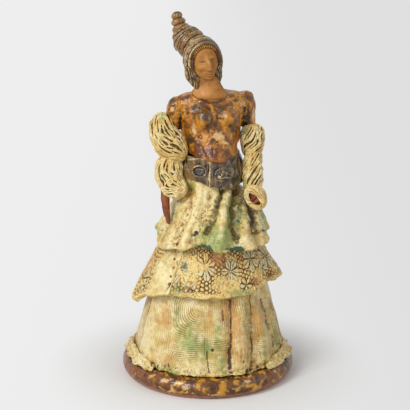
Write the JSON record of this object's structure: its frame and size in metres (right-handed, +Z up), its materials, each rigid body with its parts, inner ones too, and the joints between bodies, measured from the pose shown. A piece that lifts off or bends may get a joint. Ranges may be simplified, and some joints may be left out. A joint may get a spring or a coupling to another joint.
{
  "type": "ceramic figurine",
  "caption": "Hand-built glazed ceramic figurine of a standing woman in a tiered skirt, belt, shawl and tall wound headdress, on a round base; a free-standing ornament.",
  "frame": {"origin": "centre of the base's underside, on the table", "axes": "+Z up along the figure, -Y the way the figure faces, +X to the viewer's right of the figure seen from its front"},
  "size_m": [0.1806, 0.1806, 0.3775],
  "materials": {
    "cream_glaze": "pitted cream lead-type glaze with green, orange and brown runs, semi-gloss",
    "lace_glaze": "cream and ochre glaze pooled in an impressed lace pattern, semi-gloss",
    "amber_glaze": "mottled amber and dark honey glaze, glossy",
    "base_glaze": "red-brown glaze with ochre, cream and dark blotches at the front, glossy",
    "iron_glaze": "dark iron glaze with pale worn edges, glossy",
    "bronze_glaze": "bronze-brown glaze, dark in the grooves and tan on the ridges",
    "bare_clay": "bare orange-tan fired clay, matt",
    "red_clay": "bare red-brown fired clay, matt"
  },
  "bodies": {
    "root": {"lower_panel_front_left": "cream_glaze", "lower_panel_front_centre": "cream_glaze", "lower_panel_front_right": "cream_glaze", "lower_panel_right_front": "cream_glaze", "lower_panel_right": "cream_glaze", "lower_panel_back_right": "cream_glaze", "lower_panel_back_left": "cream_glaze", "lower_panel_left": "cream_glaze", "plain_flounce_left": "cream_glaze", "overskirt_front_left": "cream_glaze", "overskirt_front_right": "cream_glaze", "overskirt_right": "cream_glaze", "overskirt_right_rear": "cream_glaze", "overskirt_back_right": "cream_glaze", "overskirt_back_left": "cream_glaze", "overskirt_left_rear": "cream_glaze", "hem_frill_left": "cream_glaze", "hem_frill_right": "cream_glaze", "hem_frill_back": "cream_glaze", "shawl_left_upper": "cream_glaze", "shawl_left_lower": "cream_glaze", "shawl_right_upper": "cream_glaze", "shawl_right_lower": "cream_glaze", "shawl_right_cuff": "cream_glaze", "lace_flounce_front": "lace_glaze", "lace_flounce_left": "lace_glaze", "lace_flounce_back_left": "lace_glaze", "lace_flounce_back_right": "lace_glaze", "bodice": "amber_glaze", "breast_left": "amber_glaze", "breast_right": "amber_glaze", "upper_arm_left": "amber_glaze", "upper_arm_right": "amber_glaze", "base_disc": "base_glaze", "belt_left": "iron_glaze", "belt_right": "iron_glaze", "belt_pad_left": "iron_glaze", "belt_pad_right": "iron_glaze", "hood": "bronze_glaze", "hood_lappet_left": "bronze_glaze", "hood_lappet_right": "bronze_glaze", "headdress_roll_1": "bronze_glaze", "headdress_roll_2": "bronze_glaze", "headdress_roll_3": "bronze_glaze", "finial_bead_1": "bronze_glaze", "finial_bead_2": "bronze_glaze", "finial_bead_3": "bronze_glaze", "head": "bare_clay", "neck": "bare_clay", "hair_fringe": "bare_clay", "skirt_core": "red_clay", "forearm_left": "red_clay", "forearm_right": "red_clay", "hand_right": "red_clay"}
  },
  "joints": []
}
